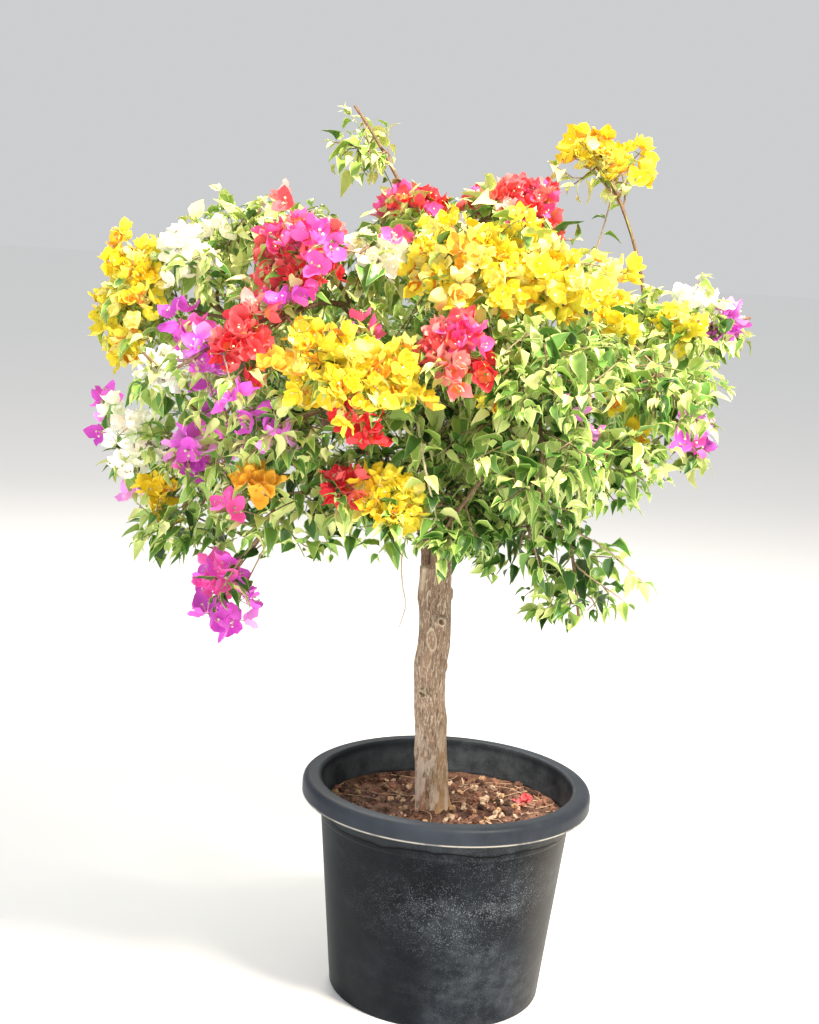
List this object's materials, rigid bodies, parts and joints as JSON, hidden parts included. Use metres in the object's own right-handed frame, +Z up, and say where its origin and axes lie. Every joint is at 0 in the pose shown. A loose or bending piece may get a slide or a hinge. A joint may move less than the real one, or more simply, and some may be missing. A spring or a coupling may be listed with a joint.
{
  "type": "potted bougainvillea bush",
  "caption": "Grafted bougainvillea bush with bracts of several colours, a stub trunk and an umbrella crown, in a black nursery pot of soil.",
  "frame": {"origin": "centre of the pot's flat underside", "axes": "+Z up from the ground, -Y towards the pictured side, +X to the right as pictured"},
  "size_m": [1.0121, 0.9236, 1.3738],
  "materials": {
    "black_plastic": "satin black moulded plastic with pale dust",
    "soil": "dry reddish potting soil with small stones",
    "bark": "grey-brown bark with fine pale fissures",
    "leaf": "soft sheen, bright yellow-green",
    "bract_yellow": "papery, vivid yellow",
    "bract_red": "papery, coral red",
    "bract_magenta": "papery, magenta purple",
    "bract_white": "papery, white to cream"
  },
  "bodies": {
    "root": {"pot": "black_plastic", "soil": "soil", "trunk": "bark", "leader_left": "bark", "limb_far_left": "bark", "limb_low_left": "bark", "limb_upper_left": "bark", "leader_front": "bark", "limb_front_low": "bark", "limb_front": "bark", "limb_front_right": "bark", "leader_right": "bark", "limb_low_right": "bark", "limb_right": "bark", "limb_top": "bark", "leader_back": "bark", "limb_back_right": "bark", "limb_back": "bark", "limb_back_left": "bark", "yellow_far_left": "bract_yellow", "white_high_left": "bract_white", "leaves_left_shoulder": "leaf", "magenta_left": "bract_magenta", "white_mid_left": "bract_white", "white_low_left": "bract_white", "magenta_low_left": "bract_magenta", "leaves_low_left": "leaf", "magenta_hanging": "bract_magenta", "red_left": "bract_red", "red_upper_left": "bract_red", "leaves_front_low_left": "leaf", "red_low": "bract_red", "yellow_low": "bract_yellow", "leaves_front": "leaf", "yellow_centre": "bract_yellow", "red_centre": "bract_red", "leaves_hanging_front": "leaf", "leaves_front_right": "leaf", "leaves_right_middle": "leaf", "yellow_main": "bract_yellow", "white_upper": "bract_white", "red_top_left": "bract_red", "red_top": "bract_red", "leaves_tall_shoot": "leaf", "yellow_top_shoot": "bract_yellow", "yellow_right": "bract_yellow", "magenta_right": "bract_magenta", "leaves_right": "leaf", "leaves_low_right": "leaf", "leaves_under_right": "leaf", "leaves_hanging_right": "leaf", "leaves_back_right": "leaf", "yellow_back_right": "bract_yellow", "magenta_back_right": "bract_magenta", "leaves_back": "leaf", "red_back": "bract_red", "leaves_back_low": "leaf", "leaves_back_left": "leaf", "white_back_left": "bract_white", "magenta_back_left": "bract_magenta"}
  },
  "joints": []
}
